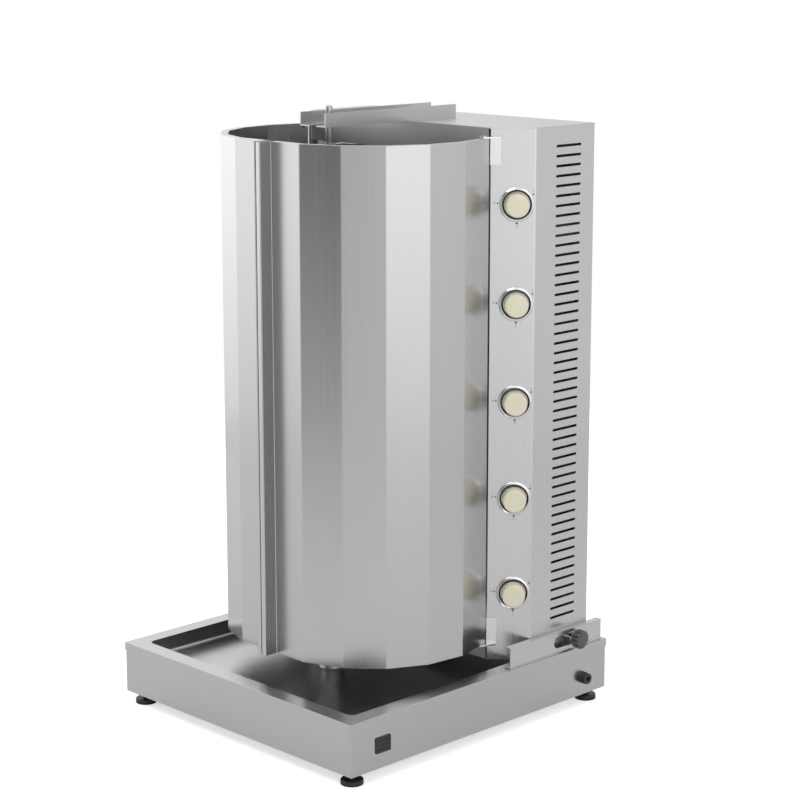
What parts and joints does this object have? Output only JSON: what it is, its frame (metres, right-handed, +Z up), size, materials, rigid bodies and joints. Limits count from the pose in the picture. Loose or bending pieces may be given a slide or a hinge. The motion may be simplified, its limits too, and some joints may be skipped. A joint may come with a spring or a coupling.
{
  "type": "gas doner kebab grill",
  "caption": "Gas doner kebab grill: a burner housing with a column of taps slides on a drip tray, and hinged faceted shields close round a vertical motor-driven spit.",
  "frame": {"origin": "centre of the footprint, at the height of the table under the feet", "axes": "+Z up, -Y towards the person who carves, +X towards the knob panel's side"},
  "size_m": [0.5936, 0.597, 1.014],
  "materials": {
    "stainless_sheet": "fine upright brushed grain",
    "steel_parts": "smooth turned steel",
    "burner_steel": "heat-toned pressed steel",
    "chromed_rings": "polished chrome",
    "ivory_caps": "ivory moulded plastic",
    "grey_plastic": "dark grey moulded plastic",
    "black_plastic": "black moulded plastic",
    "brass_parts": "machined brass",
    "gas_tube": "zinc-plated tube",
    "motor_case": "painted steel can",
    "ceramic": "porous ceramic with fine holes"
  },
  "bodies": {
    "base": {"base_box": "stainless_sheet", "base_cover": "stainless_sheet", "drip_tray": "stainless_sheet", "feet": "black_plastic", "guide_rail_right": "stainless_sheet", "guide_rail_left": "stainless_sheet", "drive_motor": "motor_case", "motor_bracket": "steel_parts", "socket_bearing": "brass_parts", "power_inlet": "black_plastic", "switch_frame": "black_plastic", "base_screws": "steel_parts"},
    "housing": {"right_side_panel": "stainless_sheet", "left_side_panel": "stainless_sheet", "back_panel": "stainless_sheet", "top_cover": "stainless_sheet", "housing_floor": "stainless_sheet", "burner_rack": "stainless_sheet", "burner_1": "burner_steel", "burner_2": "burner_steel", "burner_3": "burner_steel", "burner_4": "burner_steel", "burner_5": "burner_steel", "ceramic_plaques": "ceramic", "burner_guards": "steel_parts", "gas_manifold": "gas_tube", "gas_valves": "brass_parts", "feed_pipes": "brass_parts", "gas_inlet": "brass_parts", "guide_arm": "stainless_sheet", "body_screws": "steel_parts", "knob_bezels": "chromed_rings", "hinge_plates": "stainless_sheet", "hinge_pins": "steel_parts", "clamp_studs": "steel_parts"},
    "door_right": {"door_right": "stainless_sheet"},
    "door_left": {"door_left": "stainless_sheet"},
    "spit_drive": {"spit_socket": "steel_parts", "drive_gear": "steel_parts", "spit": "steel_parts", "meat_plate": "steel_parts"},
    "pinion": {"drive_pinion": "steel_parts"},
    "switch": {"switch_rocker": "black_plastic"},
    "clamp_right": {"clamp_knob_right": "grey_plastic"},
    "clamp_left": {"clamp_knob_left": "grey_plastic"},
    "tap_push_1": {"push_collar_1": "steel_parts"},
    "tap_knob_1": {"knob_cap_1": "ivory_caps", "valve_stem_1": "steel_parts"},
    "tap_push_2": {"push_collar_2": "steel_parts"},
    "tap_knob_2": {"knob_cap_2": "ivory_caps", "valve_stem_2": "steel_parts"},
    "tap_push_3": {"push_collar_3": "steel_parts"},
    "tap_knob_3": {"knob_cap_3": "ivory_caps", "valve_stem_3": "steel_parts"},
    "tap_push_4": {"push_collar_4": "steel_parts"},
    "tap_knob_4": {"knob_cap_4": "ivory_caps", "valve_stem_4": "steel_parts"},
    "tap_push_5": {"push_collar_5": "steel_parts"},
    "tap_knob_5": {"knob_cap_5": "ivory_caps", "valve_stem_5": "steel_parts"}
  },
  "joints": [
    {"name": "housing_slide", "type": "slide", "parent": "base", "child": "housing", "axis": [0, -1, 0], "range_m": [0, 0.045]},
    {"name": "door_right_hinge", "type": "hinge", "parent": "housing", "child": "door_right", "pos_m": [0.20975, 0.05958, 0.55], "axis": [0, 0, 1], "range_deg": [0, 60]},
    {"name": "door_left_hinge", "type": "hinge", "parent": "housing", "child": "door_left", "pos_m": [-0.20975, 0.05958, 0.55], "axis": [0, 0, -1], "range_deg": [0, 60]},
    {"name": "spit_spin", "type": "hinge", "parent": "base", "child": "spit_drive", "pos_m": [0, -0.0785, 0.09], "axis": [0, 0, 1], "continuous": true},
    {"name": "pinion_spin", "type": "hinge", "parent": "base", "child": "pinion", "pos_m": [0.05425, -0.0785, 0.068], "axis": [0, 0, 1], "continuous": true},
    {"name": "switch_rock", "type": "hinge", "parent": "base", "child": "switch", "pos_m": [0.275, -0.23, 0.058], "axis": [0, 0, 1], "range_deg": [0, 16]},
    {"name": "clamp_right_turn", "type": "hinge", "parent": "housing", "child": "clamp_right", "pos_m": [0.285, 0.21867, 0.1248], "axis": [1, 0, 0], "range_deg": [0, 270]},
    {"name": "clamp_left_turn", "type": "hinge", "parent": "housing", "child": "clamp_left", "pos_m": [-0.285, 0.21867, 0.1248], "axis": [-1, 0, 0], "range_deg": [0, 270]},
    {"name": "tap_1_push", "type": "slide", "parent": "housing", "child": "tap_push_1", "axis": [-0.7071, 0.7071, 0], "range_m": [0, 0.0035], "stiffness_N_per_m": 700, "springref_m": -0.003},
    {"name": "tap_1_turn", "type": "hinge", "parent": "tap_push_1", "child": "tap_knob_1", "pos_m": [0.24232, 0.10208, 0.2208], "axis": [0.7071, -0.7071, 0], "range_deg": [-234, 0]},
    {"name": "tap_2_push", "type": "slide", "parent": "housing", "child": "tap_push_2", "axis": [-0.7071, 0.7071, 0], "range_m": [0, 0.0035], "stiffness_N_per_m": 700, "springref_m": -0.003},
    {"name": "tap_2_turn", "type": "hinge", "parent": "tap_push_2", "child": "tap_knob_2", "pos_m": [0.24232, 0.10208, 0.3808], "axis": [0.7071, -0.7071, 0], "range_deg": [-234, 0]},
    {"name": "tap_3_push", "type": "slide", "parent": "housing", "child": "tap_push_3", "axis": [-0.7071, 0.7071, 0], "range_m": [0, 0.0035], "stiffness_N_per_m": 700, "springref_m": -0.003},
    {"name": "tap_3_turn", "type": "hinge", "parent": "tap_push_3", "child": "tap_knob_3", "pos_m": [0.24232, 0.10208, 0.5408], "axis": [0.7071, -0.7071, 0], "range_deg": [-234, 0]},
    {"name": "tap_4_push", "type": "slide", "parent": "housing", "child": "tap_push_4", "axis": [-0.7071, 0.7071, 0], "range_m": [0, 0.0035], "stiffness_N_per_m": 700, "springref_m": -0.003},
    {"name": "tap_4_turn", "type": "hinge", "parent": "tap_push_4", "child": "tap_knob_4", "pos_m": [0.24232, 0.10208, 0.7008], "axis": [0.7071, -0.7071, 0], "range_deg": [-234, 0]},
    {"name": "tap_5_push", "type": "slide", "parent": "housing", "child": "tap_push_5", "axis": [-0.7071, 0.7071, 0], "range_m": [0, 0.0035], "stiffness_N_per_m": 700, "springref_m": -0.003},
    {"name": "tap_5_turn", "type": "hinge", "parent": "tap_push_5", "child": "tap_knob_5", "pos_m": [0.24232, 0.10208, 0.8608], "axis": [0.7071, -0.7071, 0], "range_deg": [-234, 0]}
  ],
  "couplings": [
    {"joint": "pinion_spin", "follows": "spit_spin", "ratio": -5}
  ]
}
